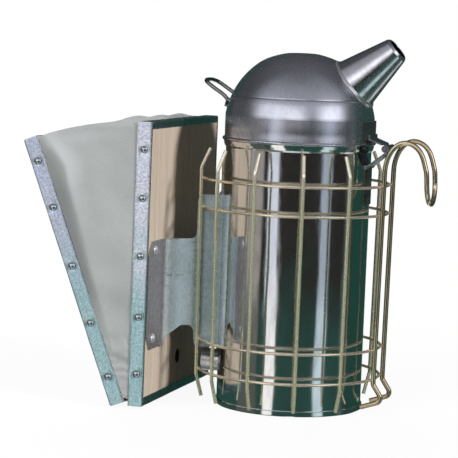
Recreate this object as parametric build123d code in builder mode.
from build123d import *
from dataclasses import dataclass
import math
import os

# Bee smoker: a steel fire pot in a wire guard, a hinged domed lid with an
# angled spout, and wedge-shaped bellows on a sheet-metal bracket.
# Millimetres, +Z up. The origin is the centre of the pot's underside.
# +X is the front (spout, hanging hook and lid hinge), -X the bellows.

os.makedirs("parts", exist_ok=True)

# ---------------------------------------------------------- shared dimensions
FIT = 0.02              # gap between seated parts, and round nails and rivets

# fire pot
POT_R = 50.0            # outside radius of the wall
POT_T = 0.8             # sheet thickness
POT_TOP = 182.0         # top of the flared collar
TUBE_Z = 26.5           # height of the air inlet
TUBE_R = 7.75           # outside radius of the inlet tube

# lid
LID_R = 51.2            # outside radius of the lid's wall
LID_T = 0.8
LID_FOOT_Z = 183.3      # lower edge of the wall
DOME_FOOT_Z = 199.0     # where the wall turns into the dome
DOME_C = 191.5          # height of the dome's centre
DOME_TOP = 243.0
SPOUT_DEG = 40.7        # spout axis above horizontal

# lid hinge
HINGE_X = 63.0
HINGE_Z = 181.0
KNUCKLE_R = 2.5
KNUCKLE_MID = 4.0       # half width of the middle knuckle
KNUCKLE_GAP = 0.25
PIN_R = 1.5
PIN_CLEAR = 0.05
LEAF_HALF = 11.0        # half width of the straps

# wire guard
CAGE_X = -0.6           # the guard sits a little towards the bellows
RING_WIRE_R = 1.0
UPRIGHT_WIRE_R = 1.25
RING_Z = (23.7, 44.1, 135.9, 155.5)
UPRIGHT_R_LOW = 64.5    # upright centreline radius at the lowest ring
UPRIGHT_R_HIGH = 65.7   # and at the highest ring
WELD_GAP = 0.01         # touching wires, no overlap

# bellows
BOARD_HALF = 74.2       # half width over the trim
BOARD_D = 10.5          # board thickness over the trim
TRIM_T = 0.6
TRIM_GAP = 0.05
TRIM_INSET = TRIM_T + TRIM_GAP
BACK_LEAN_DEG = 21.2
FRONT_X = -81.4         # pot-side face of the front board
BACK_HEIGHT = 189.4     # length of the back board along its slope
NAIL_R = 0.8
VALVE_H = 100.0         # centre of the intake hole, up the back board
TACK_R = 0.7
TACK_H = 120.5          # tacks and retainer, up the back board
TACK_W = (-9.0, 9.0)

# bracket fastenings
BRACKET_T = 1.2
SCREW_R = 1.7
SCREW_Y = 60.7
SCREW_Z = (47.3, 107.4)
RIVET_R = 1.6
RIVET_DEG = (170.0, 190.0)
RIVET_Z = (62.0, 120.0)


# -------------------------------------------------------------------- helpers
def save(builder, name):
    builder.part.label = name
    export_step(builder.part, f"parts/{name}.step")


def radial_plane(deg, centre_x=0.0):
    """Upright sketch plane: local x runs outwards at deg, local y is up."""
    angle = math.radians(deg)
    return Plane(origin=(centre_x, 0, 0), x_dir=(math.cos(angle), math.sin(angle), 0),
                 z_dir=(math.sin(angle), -math.cos(angle), 0))


def rivet_planes(radius):
    """Planes at the saddle rivets, at a radius from the pot's axis, facing outwards."""
    planes = []
    for deg in RIVET_DEG:
        out_x, out_y = math.cos(math.radians(deg)), math.sin(math.radians(deg))
        for z in RIVET_Z:
            planes.append(Plane(origin=(radius * out_x, radius * out_y, z),
                                z_dir=(out_x, out_y, 0)))
    return planes


def band_outline(inner_r, outer_r, mid_deg, half_deg):
    """Add the outline of an arc-shaped band about Z to the open BuildLine."""
    CenterArc((0, 0), outer_r, mid_deg - half_deg, 2 * half_deg)
    CenterArc((0, 0), inner_r, mid_deg - half_deg, 2 * half_deg)
    for deg in (mid_deg - half_deg, mid_deg + half_deg):
        x, y = math.cos(math.radians(deg)), math.sin(math.radians(deg))
        Line((outer_r * x, outer_r * y), (inner_r * x, inner_r * y))


def domed_fastener(outline, crown_z):
    """Fastener about Z, head seated at z 0 and shank downwards.

    outline holds (radius, z) points from the tip on the axis to the rim of the
    head; the dome is part of a sphere from the rim to crown_z.
    """
    rim_r, rim_z = outline[-1]
    rise = crown_z - rim_z
    sphere_r = (rim_r ** 2 + rise ** 2) / (2 * rise)
    mid_r = 0.55 * rim_r
    mid_z = crown_z - sphere_r + math.sqrt(sphere_r ** 2 - mid_r ** 2)
    with BuildPart() as fastener:
        with BuildSketch(Plane.XZ):
            with BuildLine():
                Polyline((0, crown_z), *outline)
                ThreePointArc((rim_r, rim_z), (mid_r, mid_z), (0, crown_z))
            make_face()
        revolve(axis=Axis.Z)
    return fastener.part


# ------------------------------------------------------------------- fire pot
PAN_T = 0.8             # floor of the base pan
PAN_GAP = 0.05          # between pan and wall
PAN_R = 50.9            # outside radius of the pan
PAN_H = 3.6             # height of its upturned band
WALL_FOOT_Z = PAN_T + PAN_GAP

# (radius, z) round the wall: up the outside, over the flared collar, down inside
WALL_PROFILE = [
    (POT_R, WALL_FOOT_Z), (POT_R, 177.4), (POT_R + 0.9, 178.6),
    (POT_R + 1.4, 180.2), (POT_R + 1.6, POT_TOP), (POT_R + 0.8, POT_TOP),
    (POT_R + 0.6, 180.4), (POT_R + 0.15, 179.0), (POT_R - POT_T, 177.8),
    (POT_R - POT_T, WALL_FOOT_Z),
]
with BuildPart() as fire_pot:
    with BuildSketch(Plane.XZ):
        with BuildLine():
            Polyline(*WALL_PROFILE, close=True)
        make_face()
    revolve(axis=Axis.Z)
    # hole for the air inlet tube
    with Locations(Plane(origin=(-POT_R, 0, TUBE_Z), z_dir=(-1, 0, 0))):
        Cylinder(TUBE_R + 0.05, 8, mode=Mode.SUBTRACT)
    # rivet holes behind the bracket's saddle
    for plane in rivet_planes(POT_R):
        with Locations(plane):
            Cylinder(RIVET_R + FIT, 6, mode=Mode.SUBTRACT)
save(fire_pot, "fire_pot")

# base pan: flat floor with a short band turned up outside the wall, (radius, z)
PAN_PROFILE = [
    (0, 0), (PAN_R - 0.5, 0), (PAN_R, 0.5), (PAN_R, PAN_H - 0.3), (PAN_R - 0.3, PAN_H),
    (POT_R + PAN_GAP, PAN_H), (POT_R + PAN_GAP, PAN_T), (0, PAN_T),
]
with BuildPart() as pot_base:
    with BuildSketch(Plane.XZ):
        with BuildLine():
            Polyline(*PAN_PROFILE, close=True)
        make_face()
    revolve(axis=Axis.Z)
save(pot_base, "pot_base")

TUBE_T = 0.7
TUBE_X = -62.5          # outer end, towards the bellows
TUBE_LENGTH = 17.0
with BuildPart() as air_inlet_tube:
    with BuildSketch(Plane.YZ.offset(TUBE_X)):
        with Locations((0, TUBE_Z)):
            Circle(TUBE_R)
            Circle(TUBE_R - TUBE_T, mode=Mode.SUBTRACT)
    extrude(amount=TUBE_LENGTH)
save(air_inlet_tube, "air_inlet_tube")

# ---------------------------------------------------------------------- grate
GRATE_R, GRATE_Z, GRATE_T = 46.6, 38.0, 1.0
GRATE_HOLE_R = 3.0
# pitch radius, number of holes, angle of the first
GRATE_HOLE_ROWS = [(13.0, 6, 0), (26.0, 12, 15), (39.0, 18, 0)]
with BuildPart() as fire_grate:
    with BuildSketch(Plane.XY.offset(GRATE_Z)):
        Circle(GRATE_R)
        Circle(GRATE_HOLE_R, mode=Mode.SUBTRACT)
        for pitch_r, count, first_deg in GRATE_HOLE_ROWS:
            with PolarLocations(pitch_r, count, start_angle=first_deg):
                Circle(GRATE_HOLE_R, mode=Mode.SUBTRACT)
    extrude(amount=GRATE_T)
save(fire_grate, "fire_grate")

# three bent strip legs under the grate, (radius, z)
LEG_HALF = 5.0
LEG_PROFILE = [
    (32.5, GRATE_Z - FIT), (41.0, GRATE_Z - FIT), (41.0, 2.0), (46.0, 2.0),
    (46.0, 1.0), (40.0, 1.0), (40.0, GRATE_Z - 1.0), (32.5, GRATE_Z - 1.0),
]
with BuildPart() as grate_legs:
    for deg in (0.0, 120.0, 240.0):
        with BuildSketch(radial_plane(deg)):
            with BuildLine():
                Polyline(*LEG_PROFILE, close=True)
            make_face()
        extrude(amount=LEG_HALF, both=True)
save(grate_legs, "grate_legs")

# ----------------------------------------------------------------- wire guard
UPRIGHT_DEG = (42.4, 71.0, 99.9, 128.4, 157.0)      # on both sides of +X
RING_END_DEG = 159.0                                # the rings are open at the bellows


def upright_r(z):
    """Centreline radius of the uprights at height z."""
    rise = (z - RING_Z[0]) / (RING_Z[3] - RING_Z[0])
    return UPRIGHT_R_LOW + (UPRIGHT_R_HIGH - UPRIGHT_R_LOW) * rise


def ring_r(z):
    """Centreline radius of a ring just inside the uprights."""
    return upright_r(z) - UPRIGHT_WIRE_R - RING_WIRE_R - WELD_GAP


with BuildPart() as guard_rings:
    for z in RING_Z:
        with BuildLine(Plane.XY.offset(z)) as ring_path:
            CenterArc((CAGE_X, 0), ring_r(z), -RING_END_DEG, 2 * RING_END_DEG)
        with BuildSketch(ring_path.line ^ 0):
            Circle(RING_WIRE_R)
        sweep(path=ring_path.line)
save(guard_rings, "guard_rings")

# (radius, z) of an upright's corners, bent in at both ends
UPRIGHT_POINTS = [(60.3, 4.6), (upright_r(20.0), 20.0), (upright_r(163.0), 163.0),
                  (60.0, 176.0)]
with BuildPart() as guard_uprights:
    for deg in UPRIGHT_DEG + tuple(-deg for deg in UPRIGHT_DEG):
        with BuildLine(radial_plane(deg, CAGE_X)) as upright_path:
            FilletPolyline(*UPRIGHT_POINTS, radius=6.0)
        with BuildSketch(upright_path.line ^ 0):
            Circle(UPRIGHT_WIRE_R)
        sweep(path=upright_path.line)
save(guard_uprights, "guard_uprights")

# --------------------------------------------------------------- hanging hook
# One continuous wire: two legs up the front of the guard, over in an arch,
# and joined by a U-bend in front.
HOOK_WIRE_R = 1.7
HOOK_Y = 13.8           # legs either side of the middle
HOOK_LEG_Z = (21.0, 165.0)      # straight part of the legs


def hook_x(z):
    """X of a leg that rests on the outside of the rings."""
    low, high = (
        CAGE_X + math.sqrt((ring_r(ring_z) + RING_WIRE_R + HOOK_WIRE_R + WELD_GAP) ** 2
                           - HOOK_Y ** 2)
        for ring_z in (RING_Z[0], RING_Z[3]))
    return low + (high - low) * (z - RING_Z[0]) / (RING_Z[3] - RING_Z[0])


leg_foot_x, leg_top_x = (hook_x(z) for z in HOOK_LEG_Z)
leg_slope = (leg_top_x - leg_foot_x) / (HOOK_LEG_Z[1] - HOOK_LEG_Z[0])
# (x, z) of one side
HOOK_FOOT = [(54.8, 4.8), (70.2, 10.1), (leg_foot_x, HOOK_LEG_Z[0])]
HOOK_ARCH = [
    (leg_top_x, HOOK_LEG_Z[1]), (65.6, 174.2), (68.9, 180.9), (73.4, 184.9), (78.4, 186.0),
    (84.2, 184.0), (88.9, 178.6), (91.9, 169.8), (93.3, 158.6),
]
bend_x, bend_z = HOOK_ARCH[-1]
with BuildPart() as hanging_hook:
    with BuildLine() as hook_path:
        for side in (-1, 1):
            with BuildLine(Plane.XZ.offset(-side * HOOK_Y)):
                FilletPolyline(*HOOK_FOOT, HOOK_ARCH[0], radius=3.6)
            Spline(*[(x, side * HOOK_Y, z) for x, z in HOOK_ARCH],
                   tangents=[(leg_slope, 0, 1), (0.05, 0, -1)])
        ThreePointArc((bend_x, -HOOK_Y, bend_z), (bend_x + 0.69, 0, bend_z - HOOK_Y),
                      (bend_x, HOOK_Y, bend_z))
    hook_wire = hook_path.wires()[0]
    with BuildSketch(hook_wire ^ 0):
        Circle(HOOK_WIRE_R)
    sweep(path=hook_wire, transition=Transition.ROUND)
save(hanging_hook, "hanging_hook")

# ------------------------------------------------------------------- lid dome
# (radius, z) on the outside, from the wall to the crown; a shallow crease
# runs round the dome where the lower and upper curves meet.
DOME_LOWER = [(LID_R, DOME_FOOT_Z), (50.6, 203.2), (49.4, 207.9), (47.55, 212.5)]
DOME_UPPER = [(47.55, 212.5), (44.6, 218.6), (40.3, 225.0), (33.5, 232.2), (25.2, 238.0),
              (14.2, 241.8), (0.0, DOME_TOP)]
LOWER_TANGENTS = [(0, 1), (-0.50, 1)]
UPPER_TANGENTS = [(-0.42, 1), (-1, 0)]


def dome_curves(outset):
    """Points of the lower and upper curve, moved away from the dome's centre."""
    def moved(point):
        radius, z = point
        distance = math.hypot(radius, z - DOME_C)
        return (radius + outset * radius / distance, z + outset * (z - DOME_C) / distance)

    lower = [(LID_R + outset, DOME_FOOT_Z)] + [moved(point) for point in DOME_LOWER[1:]]
    upper = [lower[-1]] + [moved(point) for point in DOME_UPPER[1:]]
    return lower, upper


# solid blank of the lid's outside, used to seat the fittings on it
blank_lower, blank_upper = dome_curves(FIT)
with BuildPart() as lid_blank:
    with BuildSketch(Plane.XZ):
        with BuildLine():
            Polyline(blank_upper[-1], (0, 184.0), (LID_R + FIT, 184.0), blank_lower[0])
            Spline(*blank_lower, tangents=LOWER_TANGENTS)
            Spline(*blank_upper, tangents=UPPER_TANGENTS)
        make_face()
    revolve(axis=Axis.Z)

spout_dir = (math.cos(math.radians(SPOUT_DEG)), 0, math.sin(math.radians(SPOUT_DEG)))
SPOUT_PLANE = Plane(origin=(0, 0, DOME_C), x_dir=spout_dir, z_dir=(0, -1, 0))
SPOUT_AXIS = Axis((0, 0, DOME_C), spout_dir)
SPOUT_HOLE_R = 17.2
SPOUT_HOLE_OUT = 48.0   # middle of the hole cutter, from the dome's centre

BEAD_R = 51.5           # radius to the rolled bead's centre
BEAD_ROLL_R = 1.2
LIP_PROFILE = [(49.6, 180.6), (50.2, 180.6), (50.2, 183.0), (50.8, 183.0), (50.8, 184.6),
               (50.2, 184.6), (49.6, 184.0)]        # (radius, z)

inner_lower, inner_upper = dome_curves(-LID_T)
with BuildPart() as lid_dome:
    with BuildSketch(Plane.XZ):
        with BuildLine():
            Line((LID_R, LID_FOOT_Z), DOME_LOWER[0])
            Spline(*DOME_LOWER, tangents=LOWER_TANGENTS)
            Spline(*DOME_UPPER, tangents=UPPER_TANGENTS)
            Line(DOME_UPPER[-1], inner_upper[-1])
            Spline(*reversed(inner_upper), tangents=[(1, 0), (0.42, -1)])
            Spline(*reversed(inner_lower), tangents=[(0.50, -1), (0, -1)])
            Line(inner_lower[0], (LID_R - LID_T, LID_FOOT_Z))
            Line((LID_R - LID_T, LID_FOOT_Z), (LID_R, LID_FOOT_Z))
        make_face()
    revolve(axis=Axis.Z)
    # rolled bead round the mouth, and the locating lip inside it
    with BuildSketch(Plane.XZ):
        with Locations((BEAD_R, LID_FOOT_Z)):
            Circle(BEAD_ROLL_R)
    revolve(axis=Axis.Z)
    with BuildSketch(Plane.XZ):
        with BuildLine():
            Polyline(*LIP_PROFILE, close=True)
        make_face()
    revolve(axis=Axis.Z)
    # smoke outlet under the spout
    with Locations(Plane(origin=(SPOUT_HOLE_OUT * spout_dir[0], 0,
                                 DOME_C + SPOUT_HOLE_OUT * spout_dir[2]), z_dir=spout_dir)):
        Cylinder(SPOUT_HOLE_R, 30, mode=Mode.SUBTRACT)
save(lid_dome, "lid_dome")

# ----------------------------------------------------------- spout and handle
# (distance along the spout axis from the dome's centre, radius)
CONE_PROFILE = [
    (45.5, 19.22), (84.4, 9.75), (85.5, 9.5), (87.1, 8.3), (87.4, 7.7),
    (87.0, 7.3), (86.5, 7.7), (85.2, 8.75), (84.3, 8.93), (45.3, 18.4),
]
# raised ring round the foot of the spout
COLLAR_PROFILE = [
    (46.0, 19.16), (48.4, 18.58), (50.2, 18.14), (50.4, 18.7),
    (49.6, 19.5), (48.6, 20.1), (46.0, 20.6),
]
for name, profile in (("spout_cone", CONE_PROFILE), ("spout_collar", COLLAR_PROFILE)):
    with BuildPart() as spout_piece:
        with BuildSketch(SPOUT_PLANE):
            with BuildLine():
                Polyline(*profile, close=True)
            make_face()
        revolve(axis=SPOUT_AXIS)
        add(lid_blank.part, mode=Mode.SUBTRACT)
    save(spout_piece, name)

# lid handle: a bent wire loop with its feet flattened against the dome
HANDLE_WIRE_R = 1.35
HANDLE_Y = 14.0         # feet either side of the middle
HANDLE_FOOT_X, HANDLE_FOOT_Z = -47.4, 207.4
# (x, y, z) from the +Y foot to just short of the middle
HANDLE_SIDE = [
    (-48.1, HANDLE_Y, 206.4), (-48.1, HANDLE_Y, 208.8), (-50.0, HANDLE_Y, 211.5),
    (-54.8, HANDLE_Y, 214.9), (-59.8, HANDLE_Y, 218.1), (-63.5, 12.6, 220.5),
    (-65.5, 8.8, 221.7), (-66.2, 4.0, 222.1),
]
HANDLE_MIDDLE = (-66.25, 0, 222.15)
with BuildPart() as lid_handle:
    with BuildLine() as handle_path:
        Spline(*[(x, -y, z) for x, y, z in HANDLE_SIDE], HANDLE_MIDDLE,
               *reversed(HANDLE_SIDE))
    with BuildSketch(handle_path.line ^ 0):
        Circle(HANDLE_WIRE_R)
    sweep(path=handle_path.line)
    for side in (-1, 1):
        foot_y = side * HANDLE_Y
        foot_plane = Plane(origin=(HANDLE_FOOT_X, foot_y, HANDLE_FOOT_Z),
                           x_dir=(-foot_y, HANDLE_FOOT_X, 0),
                           z_dir=(HANDLE_FOOT_X, foot_y, 13.0))
        with BuildSketch(foot_plane):
            RectangleRounded(5.6, 6.4, 2.2)
        extrude(amount=2.1)
    add(lid_blank.part, mode=Mode.SUBTRACT)
save(lid_handle, "lid_handle")

# ------------------------------------------------------------------ lid hinge
HINGE_PLANE = Plane(origin=(HINGE_X, 0, HINGE_Z), z_dir=(0, 1, 0))

# Upper leaf: curved plate on the lid's wall, strap down to the middle knuckle.
UPPER_PLATE_R = LID_R + 1.2
UPPER_PLATE_HALF = 19.5
UPPER_PLATE_Z = 186.2
# (x, z)
UPPER_STRAP = [(48.0, UPPER_PLATE_Z), (52.2, UPPER_PLATE_Z), (60.4, 183.35), (60.7, 184.25),
               (52.6, 187.3), (52.3, 190.0), (48.0, 190.0)]
UPPER_TONGUE = [(60.0, 183.5), (62.3, 182.4), (63.6, 183.2), (62.9, 183.45), (60.7, 184.25)]
with BuildPart() as hinge_upper_leaf:
    with BuildSketch(Plane.XY.offset(UPPER_PLATE_Z)):
        with BuildLine():
            band_outline(LID_R + FIT, UPPER_PLATE_R, 0,
                         math.degrees(math.asin(UPPER_PLATE_HALF / UPPER_PLATE_R)))
        make_face()
    extrude(amount=12.4)
    # full-width strap, then the tongue that carries the middle knuckle
    for outline, half_width in ((UPPER_STRAP, LEAF_HALF), (UPPER_TONGUE, KNUCKLE_MID)):
        with BuildSketch(Plane.XZ):
            with BuildLine():
                Polyline(*outline, close=True)
            make_face()
        extrude(amount=half_width, both=True)
    with BuildSketch(Plane.XZ):
        with Locations((HINGE_X, HINGE_Z)):
            Circle(KNUCKLE_R)
    extrude(amount=KNUCKLE_MID, both=True)
    with Locations(HINGE_PLANE):
        Cylinder(PIN_R + PIN_CLEAR, 30, mode=Mode.SUBTRACT)
    # clear the lid's wall
    with Locations((0, 0, 191)):
        Cylinder(LID_R + FIT, 20, mode=Mode.SUBTRACT)
save(hinge_upper_leaf, "hinge_upper_leaf")

# Lower leaf: curved plate on the pot, strap out to the two outer knuckles.
LOWER_PLATE_R = POT_R + 0.9
# (x, z)
LOWER_STRAP = [(46.0, 166.6), (50.8, 166.6), (52.0, 168.4), (64.6, 178.75), (64.0, 179.45),
               (51.2, 169.3), (46.0, 169.0)]
with BuildPart() as hinge_lower_leaf:
    with BuildSketch(Plane.XY.offset(142.0)):
        with BuildLine():
            band_outline(POT_R + FIT, LOWER_PLATE_R, 0,
                         math.degrees(math.asin(LEAF_HALF / LOWER_PLATE_R)))
        make_face()
    extrude(amount=27.0)
    with BuildSketch(Plane.XZ):
        with BuildLine():
            Polyline(*LOWER_STRAP, close=True)
        make_face()
    extrude(amount=LEAF_HALF, both=True)
    # the strap is notched for the lid's middle knuckle
    with Locations((64.0, 0, 179.2)):
        Box(8.6, 2 * (KNUCKLE_MID + KNUCKLE_GAP), 9.0, mode=Mode.SUBTRACT)
    for side in (-1, 1):
        with BuildSketch(Plane.XZ.offset(-side * (KNUCKLE_MID + KNUCKLE_GAP))):
            with Locations((HINGE_X, HINGE_Z)):
                Circle(KNUCKLE_R)
        extrude(amount=-side * (LEAF_HALF - KNUCKLE_MID - KNUCKLE_GAP))
    with Locations(HINGE_PLANE):
        Cylinder(PIN_R + PIN_CLEAR, 30, mode=Mode.SUBTRACT)
    # clear the pot's wall
    with Locations((0, 0, 156)):
        Cylinder(POT_R + FIT, 40, mode=Mode.SUBTRACT)
save(hinge_lower_leaf, "hinge_lower_leaf")

PIN_HALF = 11.8
with BuildPart() as hinge_pin:
    with BuildSketch(Plane.XZ.offset(-PIN_HALF)):
        with Locations((HINGE_X, HINGE_Z)):
            Circle(PIN_R)
    extrude(amount=2 * PIN_HALF)
    chamfer(hinge_pin.edges(), length=0.3)
save(hinge_pin, "hinge_pin")


# ------------------------------------------------------------- bellows boards
@dataclass
class Board:
    name: str
    foot: Vector            # foot of the outer face, at mid width
    inward: Vector          # from the outer face into the bellows
    up: Vector              # up the board
    height: float
    side_nails: tuple       # heights up the board
    top_lip: float = 4.8    # width of the end trims on the outer face
    foot_lip: float = 6.0

    def at(self, across, height, depth):
        """Point on the board: across in Y, up the board, in from its outer face."""
        return self.foot + self.up * height + self.inward * depth + Vector(0, across, 0)

    def plane(self, depth=0.0):
        """Sketch plane: local x across, local y up the board, normal inwards."""
        return Plane(origin=self.at(0, 0, depth), x_dir=self.up.cross(self.inward),
                     z_dir=self.inward)

    def normal_plane(self, across, height, depth):
        return Plane(origin=self.at(across, height, depth), z_dir=self.inward)

    def side_nail_planes(self):
        """Nail planes on both sides, normals out of the trim."""
        return [Plane(origin=self.at(side * BOARD_HALF, height, BOARD_D / 2),
                      z_dir=(0, side, 0))
                for side in (-1, 1) for height in self.side_nails]

    def foot_nail_planes(self):
        return [Plane(origin=self.at(across, 0, BOARD_D / 2 + 0.6), z_dir=-self.up)
                for across in FOOT_NAILS]


FOOT_NAILS = (-54.0, -18.0, 18.0, 54.0)
lean_sin, lean_cos = (f(math.radians(BACK_LEAN_DEG)) for f in (math.sin, math.cos))
FRONT = Board("front", foot=Vector(FRONT_X, 0, 2.3), inward=Vector(-1, 0, 0),
              up=Vector(0, 0, 1), height=191.7,
              side_nails=(22.0, 60.5, 101.6, 140.5, 173.2))
BACK = Board("back", foot=Vector(-104.6, 0, 0.6), inward=Vector(lean_cos, 0, lean_sin),
             up=Vector(-lean_sin, 0, lean_cos), height=BACK_HEIGHT,
             side_nails=(19.6, 57.7, 98.3, 139.9, 172.8))
SIDE_LIP = 2.2          # width of the side trims on the outer face

nail_blank = domed_fastener([(0, -8.6), (0.25, -8.6), (NAIL_R, -7.0), (NAIL_R, 0.03),
                             (2.35, 0.03), (2.35, 0.35)], crown_z=1.45)


def build_board(board):
    with BuildPart() as wood:
        with BuildSketch(board.plane()):
            with Locations((0, board.height / 2)):
                Rectangle(2 * (BOARD_HALF - TRIM_INSET), board.height - 2 * TRIM_INSET)
        extrude(amount=BOARD_D)
        # the outer face is set back by the thickness of the trim
        with BuildSketch(board.plane()):
            with Locations((0, board.height / 2)):
                Rectangle(2 * BOARD_HALF + 4, board.height + 4)
        extrude(amount=TRIM_INSET, mode=Mode.SUBTRACT)
        if board is FRONT:
            # air outlet, opposite the pot's inlet tube
            with Locations(Plane(origin=(FRONT_X, 0, TUBE_Z + 0.5), z_dir=(-1, 0, 0))):
                Cylinder(5.0, 60, mode=Mode.SUBTRACT)
        else:
            # air intake
            with Locations(board.normal_plane(0, VALVE_H, 5)):
                Cylinder(11.0, 60, mode=Mode.SUBTRACT)
        with Locations(*board.side_nail_planes(), *board.foot_nail_planes()):
            Cylinder(NAIL_R + FIT, 22, mode=Mode.SUBTRACT)
        if board is FRONT:
            for side in (-1, 1):
                for z in SCREW_Z:
                    with Locations(Plane(origin=(FRONT_X, side * SCREW_Y, z), z_dir=(1, 0, 0))):
                        Cylinder(SCREW_R + FIT, 16.8, mode=Mode.SUBTRACT)
        else:
            for across in TACK_W:
                with Locations(board.normal_plane(across, TACK_H, BOARD_D)):
                    Cylinder(TACK_R + FIT, 12.4, mode=Mode.SUBTRACT)
    save(wood, f"{board.name}_board")


def build_side_trims(board):
    """Folded strip over each side edge of the board."""
    with BuildPart() as trims:
        for side in (-1, 1):
            with BuildSketch(board.plane()):
                with Locations((side * (BOARD_HALF - TRIM_T / 2), board.height / 2)):
                    Rectangle(TRIM_T, board.height)
            extrude(amount=BOARD_D)
            with BuildSketch(board.plane()):
                with Locations((side * (BOARD_HALF - SIDE_LIP / 2), board.height / 2)):
                    Rectangle(SIDE_LIP, board.height - 2 * TRIM_INSET)
            extrude(amount=TRIM_T)
        with Locations(*board.side_nail_planes()):
            Cylinder(NAIL_R + FIT, 6, mode=Mode.SUBTRACT)
    save(trims, f"{board.name}_side_trims")


def build_end_trims(board):
    """The same strip across the top and the foot."""
    with BuildPart() as trims:
        for edge_h, lip_h, lip in (
                (board.height - TRIM_T / 2, board.height - board.top_lip / 2, board.top_lip),
                (TRIM_T / 2, board.foot_lip / 2, board.foot_lip)):
            with BuildSketch(board.plane()):
                with Locations((0, edge_h)):
                    Rectangle(2 * (BOARD_HALF - TRIM_INSET), TRIM_T)
            extrude(amount=BOARD_D)
            with BuildSketch(board.plane()):
                with Locations((0, lip_h)):
                    Rectangle(2 * (BOARD_HALF - SIDE_LIP - TRIM_GAP), lip)
            extrude(amount=TRIM_T)
        with Locations(*board.foot_nail_planes()):
            Cylinder(NAIL_R + FIT, 6, mode=Mode.SUBTRACT)
    save(trims, f"{board.name}_end_trims")


def build_trim_nails(board):
    with BuildPart() as nails:
        with Locations(*board.side_nail_planes(), *board.foot_nail_planes()):
            add(nail_blank)
    save(nails, f"{board.name}_trim_nails")


for bellows_board in (FRONT, BACK):
    build_board(bellows_board)
    build_side_trims(bellows_board)
    build_end_trims(bellows_board)
    build_trim_nails(bellows_board)

# leather strip that joins the feet of the two boards, (x, z)
STRIP_PROFILE = [(-92.1, 2.5), (-92.1, 10.5), (-93.0, 10.5), (-93.9, 6.0), (-93.9, 2.5)]
with BuildPart() as hinge_strip:
    with BuildSketch(Plane.XZ):
        with BuildLine():
            Polyline(*STRIP_PROFILE, close=True)
        make_face()
    extrude(amount=72.0, both=True)
save(hinge_strip, "hinge_strip")

# --------------------------------------------------------------- bellows skin
# A wedge of leathercloth, open towards both boards.
SKIN_HALF = 73.4
SKIN_T = 1.4            # on the two sides
SKIN_TOP_T = 1.6        # at the top of the back board
back_top = BACK.at(0, BACK_HEIGHT - 0.8, BOARD_D + 0.35)
back_foot = BACK.at(0, 9.0, BOARD_D + 0.35)
top_outer, foot_outer = (back_top.X, back_top.Z), (back_foot.X, back_foot.Z)
top_inner = (back_top.X, back_top.Z - SKIN_TOP_T)
# the hollow runs past the edges at both boards, to leave them open
cut_top = (back_top.X - 6, back_top.Z - 3.6)
cut_foot = (back_foot.X - 6, back_foot.Z + 1.6)
# (x, z) over the top, from the front board to the back board
SKIN_TOP_OUTER = [(-92.2, 193.4), (-96.5, 197.3), (-104.0, 198.6), (-120.0, 195.8),
                  (-142.0, 189.4), top_outer]
SKIN_TOP_INNER = [(-92.2, 191.9), (-97.2, 195.7), (-104.0, 197.0), (-120.0, 194.2),
                  (-142.0, 187.8), top_inner]
with BuildPart() as bellows_skin:
    with BuildSketch(Plane.XZ):
        with BuildLine():
            Line((-92.2, 12.0), SKIN_TOP_OUTER[0])
            Spline(*SKIN_TOP_OUTER)
            Line(top_outer, foot_outer)
            Line(foot_outer, (-92.2, 12.0))
        make_face()
    extrude(amount=SKIN_HALF, both=True)
    with BuildSketch(Plane.XZ):
        with BuildLine():
            Line((-88.0, 13.6), (-88.0, 191.9))
            Line((-88.0, 191.9), SKIN_TOP_INNER[0])
            Spline(*SKIN_TOP_INNER)
            Line(top_inner, cut_top)
            Line(cut_top, cut_foot)
            Line(cut_foot, (-88.0, 13.6))
        make_face()
    extrude(amount=SKIN_HALF - SKIN_T, both=True, mode=Mode.SUBTRACT)
save(bellows_skin, "bellows_skin")

# return spring between the boards
SPRING_FRONT = Vector(-91.9, 0, 152.0)      # on the front board's inner face
SPRING_DIR = Vector(-0.983, 0, -0.184)
with BuildPart() as bellows_spring:
    with BuildLine() as coil:
        Helix(pitch=9.4, height=47.0, radius=12.5,
              center=tuple(SPRING_FRONT + SPRING_DIR * 4.6), direction=tuple(SPRING_DIR))
    with BuildSketch(coil.line ^ 0):
        Circle(0.9)
    sweep(path=coil.line, is_frenet=True)
save(bellows_spring, "bellows_spring")

# --------------------------------------------------------------- intake valve
# Inside the back board: flap, the strip that clamps it, tacks.
FLAP_R = 15.0
FLAP_T = 1.4
RETAINER_T = 1.2
with BuildPart() as valve_flap:
    with BuildSketch(BACK.plane(BOARD_D + 0.05)):
        with Locations((0, VALVE_H)):
            Circle(FLAP_R)
        with Locations((0, VALVE_H + 8.1)):
            Rectangle(24.0, 16.0)
    extrude(amount=FLAP_T)
save(valve_flap, "valve_flap")

with BuildPart() as valve_retainer:
    with BuildSketch(BACK.plane(BOARD_D + FIT)):
        with Locations((0, TACK_H)):
            RectangleRounded(26.0, 7.0, 1.5)
        with Locations(*[(across, TACK_H) for across in TACK_W]):
            Circle(TACK_R + FIT, mode=Mode.SUBTRACT)
    extrude(amount=RETAINER_T)
save(valve_retainer, "valve_retainer")

tack_blank = domed_fastener([(0, -6.5), (TACK_R, -5.4), (TACK_R, 0.03), (2.0, 0.03),
                             (2.0, 0.25)], crown_z=0.9)
with BuildPart() as valve_tacks:
    with Locations(*[BACK.normal_plane(across, TACK_H, BOARD_D + FIT + RETAINER_T)
                     for across in TACK_W]):
        add(tack_blank)
save(valve_tacks, "valve_tacks")

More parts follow.
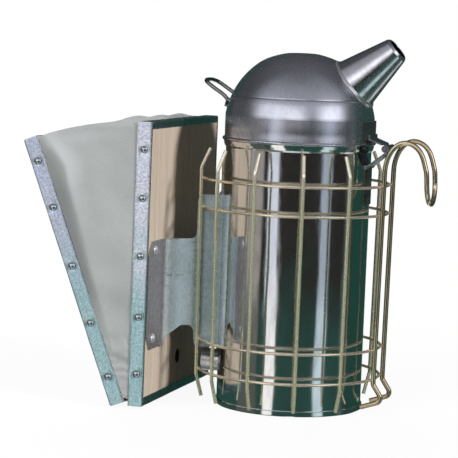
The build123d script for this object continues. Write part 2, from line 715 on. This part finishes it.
# -------------------------------------------------------------------- bracket
# One folded sheet: flanges on the front board, oblique webs, and a taller
# middle that ends in a saddle round the back of the pot.
BRACKET_LOW, BRACKET_HIGH = 38.4, 143.8
FLANGE_Y = 71.8         # outer edge of the flanges
FLANGE_LOW, FLANGE_HIGH = 40.0, 113.4
SADDLE_HALF_DEG = 20.4
SADDLE_R = POT_R + 0.05
WOOD_X = FRONT_X - TRIM_INSET       # set-back outer face of the front board
FLANGE_X = WOOD_X + BRACKET_T       # pot-side face of the flanges


def offset_line(start, end, distance):
    """The line from start to end, moved to its left by distance."""
    dx, dy = end[0] - start[0], end[1] - start[1]
    length = math.hypot(dx, dy)
    shift_x, shift_y = -dy / length * distance, dx / length * distance
    return (start[0] + shift_x, start[1] + shift_y), (end[0] + shift_x, end[1] + shift_y)


def meet(line_a, line_b):
    """Intersection of two lines, each given by two points."""
    (x1, y1), (x2, y2) = line_a
    (x3, y3), (x4, y4) = line_b
    cross_a, cross_b = x1 * y2 - y1 * x2, x3 * y4 - y3 * x4
    den = (x1 - x2) * (y3 - y4) - (y1 - y2) * (x3 - x4)
    return ((cross_a * (x3 - x4) - (x1 - x2) * cross_b) / den,
            (cross_a * (y3 - y4) - (y1 - y2) * cross_b) / den)


# plan view of the -Y half: flange, web and cheek up to the saddle's edge
saddle_cos, saddle_sin = (f(math.radians(180.0 + SADDLE_HALF_DEG))
                          for f in (math.cos, math.sin))
flange_bend = (FLANGE_X, -44.0)
web_bend = (-63.4, -24.0)
saddle_edge = ((SADDLE_R + BRACKET_T) * saddle_cos, (SADDLE_R + BRACKET_T) * saddle_sin)
web_inside = offset_line(flange_bend, web_bend, BRACKET_T)
cheek_inside = offset_line(web_bend, saddle_edge, BRACKET_T)
FLANGE_BACK_X = WOOD_X + FIT
HALF_PLAN = [
    (FLANGE_BACK_X, -FLANGE_Y), (FLANGE_X, -FLANGE_Y), flange_bend, web_bend, saddle_edge,
    (SADDLE_R * saddle_cos + 0.35, SADDLE_R * saddle_sin + 1.2),
    cheek_inside[1], meet(web_inside, cheek_inside),
    meet(web_inside, ((FLANGE_BACK_X, 0.0), (FLANGE_BACK_X, 1.0))),
]
# (x, z) side outline: low narrow flanges, a waist, then the tall middle
SIDE_OUTLINE = [
    (-44.0, BRACKET_LOW), (-60.8, BRACKET_LOW), (-62.4, 39.4), (-63.0, 42.0), (-63.3, 49.6),
    (-64.6, 52.4), (-66.6, 53.6), (-70.4, 53.6), (-77.3, 47.0), (-79.4, 44.0),
    (-79.4, FLANGE_LOW), (-84.0, FLANGE_LOW), (-84.0, FLANGE_HIGH), (-65.2, FLANGE_HIGH),
    (-63.6, 115.2), (-63.3, 118.0), (-63.3, 139.6), (-62.2, 142.6), (-59.6, BRACKET_HIGH),
    (-44.0, BRACKET_HIGH),
]
with BuildPart() as bellows_bracket:
    with BuildSketch(Plane.XY.offset(BRACKET_LOW)):
        for side in (1, -1):
            with BuildLine():
                Polyline(*[(x, side * y) for x, y in HALF_PLAN], close=True)
            make_face()
        # saddle
        with BuildLine():
            band_outline(SADDLE_R, SADDLE_R + BRACKET_T, 180, SADDLE_HALF_DEG)
        make_face()
    extrude(amount=BRACKET_HIGH - BRACKET_LOW)
    with BuildSketch(Plane.XZ):
        with BuildLine():
            Polyline(*SIDE_OUTLINE, close=True)
        make_face()
    extrude(amount=80, both=True, mode=Mode.INTERSECT)
    # clipped outer corners of the flanges
    for side in (-1, 1):
        for z, inward in ((FLANGE_LOW, 1), (FLANGE_HIGH, -1)):
            with BuildSketch(Plane.YZ.offset(-84.0)):
                with BuildLine():
                    Polyline((side * 73.0, z - inward), (side * 65.0, z - inward),
                             (side * 65.0, z), (side * FLANGE_Y, z + inward * 9.0),
                             (side * 73.0, z + inward * 9.0), close=True)
                make_face()
            extrude(amount=5.0, mode=Mode.SUBTRACT)
    # screw holes in the flanges, rivet holes in the saddle
    for side in (-1, 1):
        for z in SCREW_Z:
            with Locations(Plane(origin=(WOOD_X, side * SCREW_Y, z), z_dir=(1, 0, 0))):
                Cylinder(SCREW_R + FIT, 10, mode=Mode.SUBTRACT)
    for plane in rivet_planes(POT_R):
        with Locations(plane):
            Cylinder(RIVET_R + FIT, 8, mode=Mode.SUBTRACT)
    # clear the pot's wall
    with Locations((0, 0, 90)):
        Cylinder(SADDLE_R, 120, mode=Mode.SUBTRACT)
save(bellows_bracket, "bellows_bracket")

# domed screws that hold the flanges to the board
screw_blank = domed_fastener([(0, -9.0), (SCREW_R, -7.4), (SCREW_R, 0), (3.4, 0),
                              (3.4, 0.45)], crown_z=2.3)
with BuildPart() as board_screws:
    with Locations(*[Plane(origin=(FLANGE_X + FIT, side * SCREW_Y, z), z_dir=(1, 0, 0))
                     for side in (-1, 1) for z in SCREW_Z]):
        add(screw_blank)
save(board_screws, "board_screws")

# rivets through the saddle and the pot: domed outside, flat inside
RIVET_HEAD_R = 2.9
RIVET_SEAT = SADDLE_R + BRACKET_T + 0.06            # radius under the domed head
RIVET_GRIP = RIVET_SEAT - (POT_R - POT_T - 0.12)    # length between the heads
rivet_blank = domed_fastener(
    [(0, -RIVET_GRIP - 1.2), (RIVET_HEAD_R, -RIVET_GRIP - 1.2), (RIVET_HEAD_R, -RIVET_GRIP),
     (RIVET_R, -RIVET_GRIP), (RIVET_R, 0), (RIVET_HEAD_R, 0), (RIVET_HEAD_R, 0.4)],
    crown_z=1.7)
with BuildPart() as saddle_rivets:
    with Locations(*rivet_planes(RIVET_SEAT)):
        add(rivet_blank)
save(saddle_rivets, "saddle_rivets")
